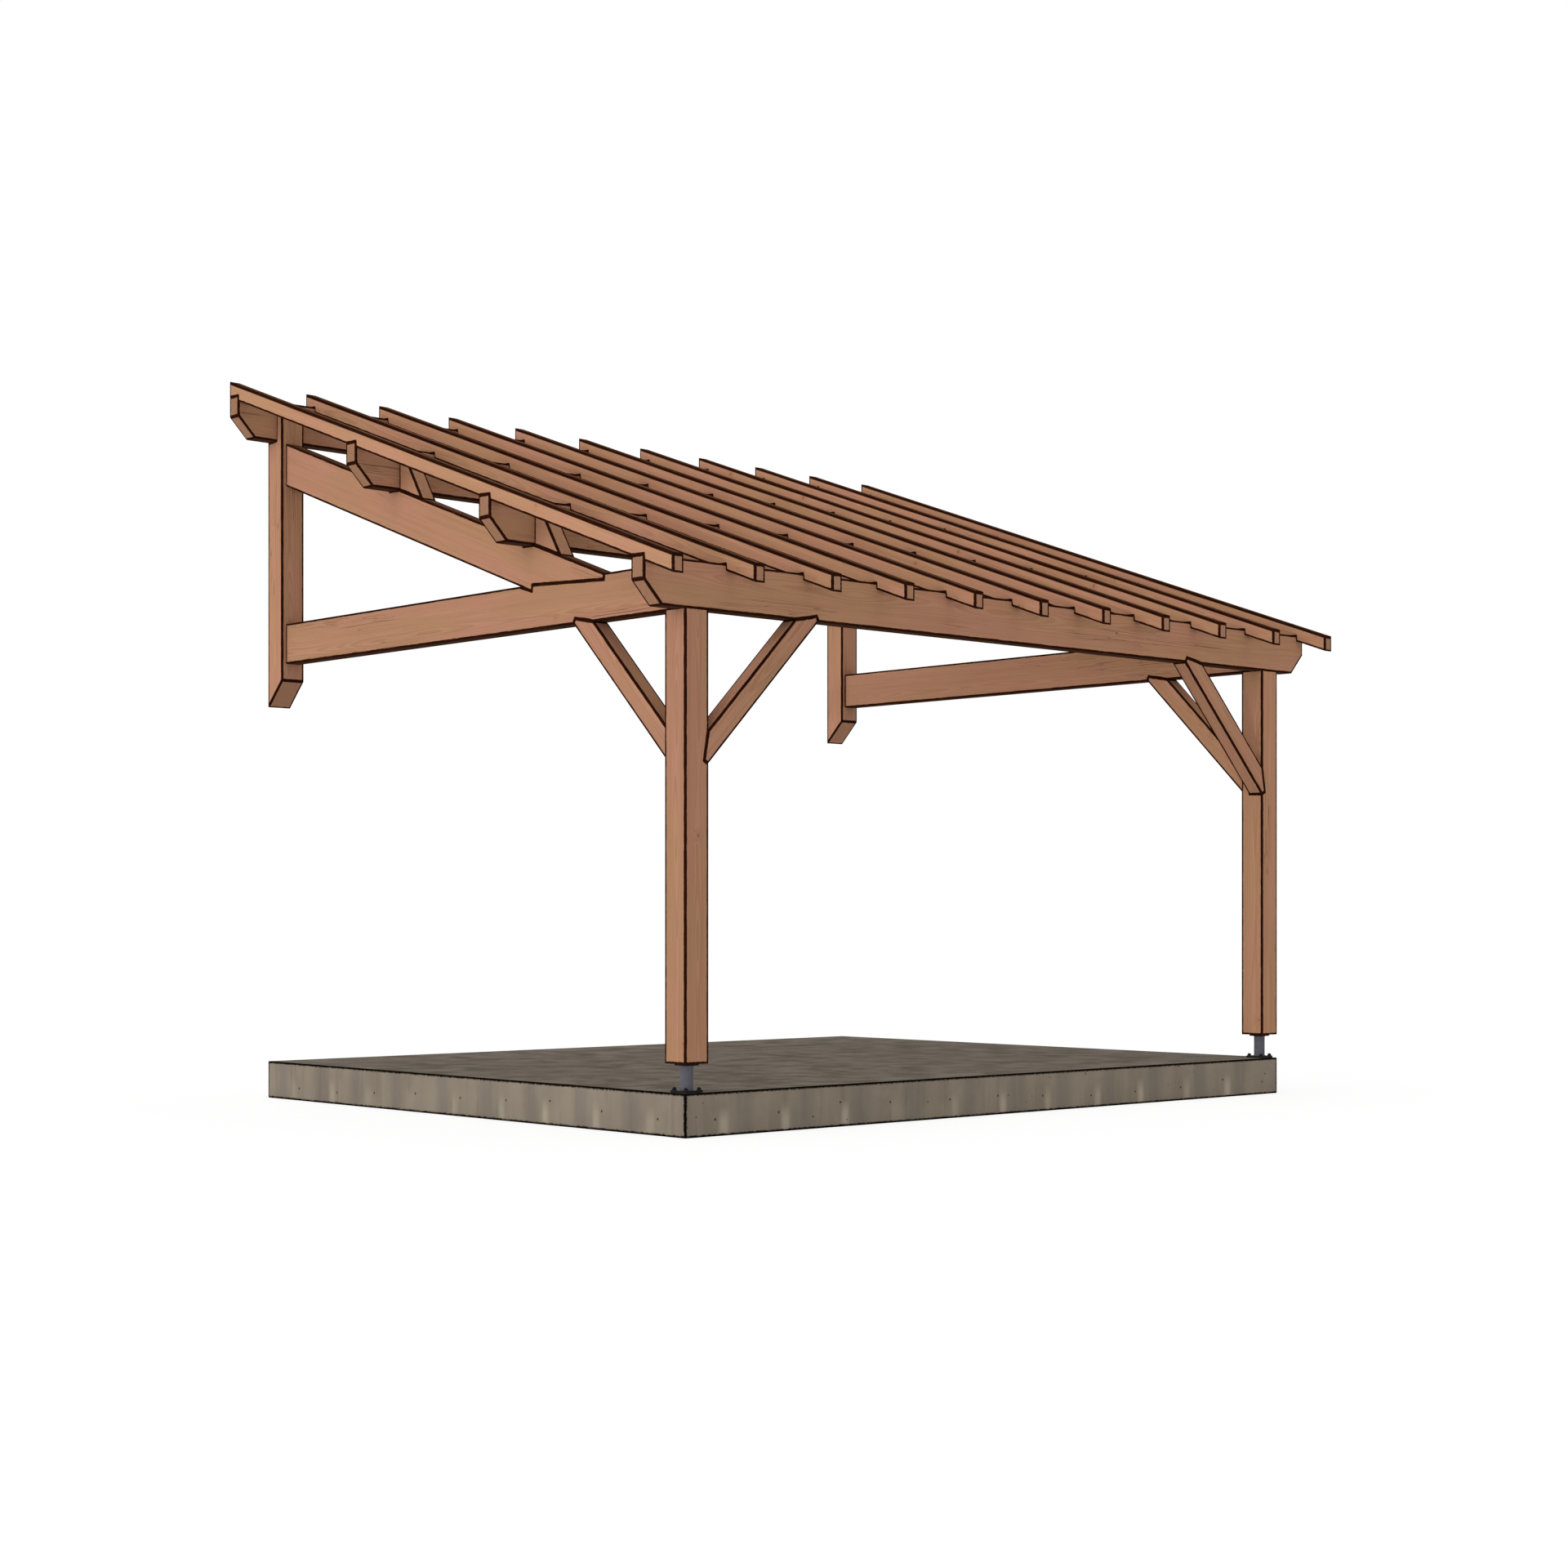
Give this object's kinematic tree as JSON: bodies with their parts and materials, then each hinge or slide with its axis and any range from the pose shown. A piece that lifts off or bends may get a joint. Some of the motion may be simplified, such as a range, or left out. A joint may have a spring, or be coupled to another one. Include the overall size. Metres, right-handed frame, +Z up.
{
  "type": "lean-to carport",
  "caption": "Open lean-to carport on a concrete slab: timber posts, half trusses with stepped joints, knee braces, purlins with slanted ends and bare notched rafters.",
  "frame": {"origin": "middle of the slab's underside", "axes": "+Z up, +Y toward the house wall that the high side is fixed to, +X along the eave"},
  "size_m": [5.656, 4.225, 4.484],
  "materials": {
    "timber": "planed softwood with a brown stain, matt",
    "concrete": "smooth cast concrete, matt",
    "steel": "grey-blue metal paint, satin"
  },
  "bodies": {
    "root": {"floor_slab": "concrete", "left_post_base": "steel", "right_post_base": "steel", "left_front_post": "timber", "right_front_post": "timber", "left_wall_post": "timber", "right_wall_post": "timber", "left_tie_beam": "timber", "right_tie_beam": "timber", "left_sloping_beam": "timber", "right_sloping_beam": "timber", "eave_purlin": "timber", "lower_purlin": "timber", "upper_purlin": "timber", "wall_purlin": "timber", "left_lower_cleat": "timber", "left_upper_cleat": "timber", "right_lower_cleat": "timber", "right_upper_cleat": "timber", "left_front_brace": "timber", "right_front_brace": "timber", "left_side_brace": "timber", "right_side_brace": "timber", "rafter_01": "timber", "rafter_02": "timber", "rafter_03": "timber", "rafter_04": "timber", "rafter_05": "timber", "rafter_06": "timber", "rafter_07": "timber", "rafter_08": "timber", "rafter_09": "timber", "rafter_10": "timber", "rafter_11": "timber"}
  },
  "joints": []
}
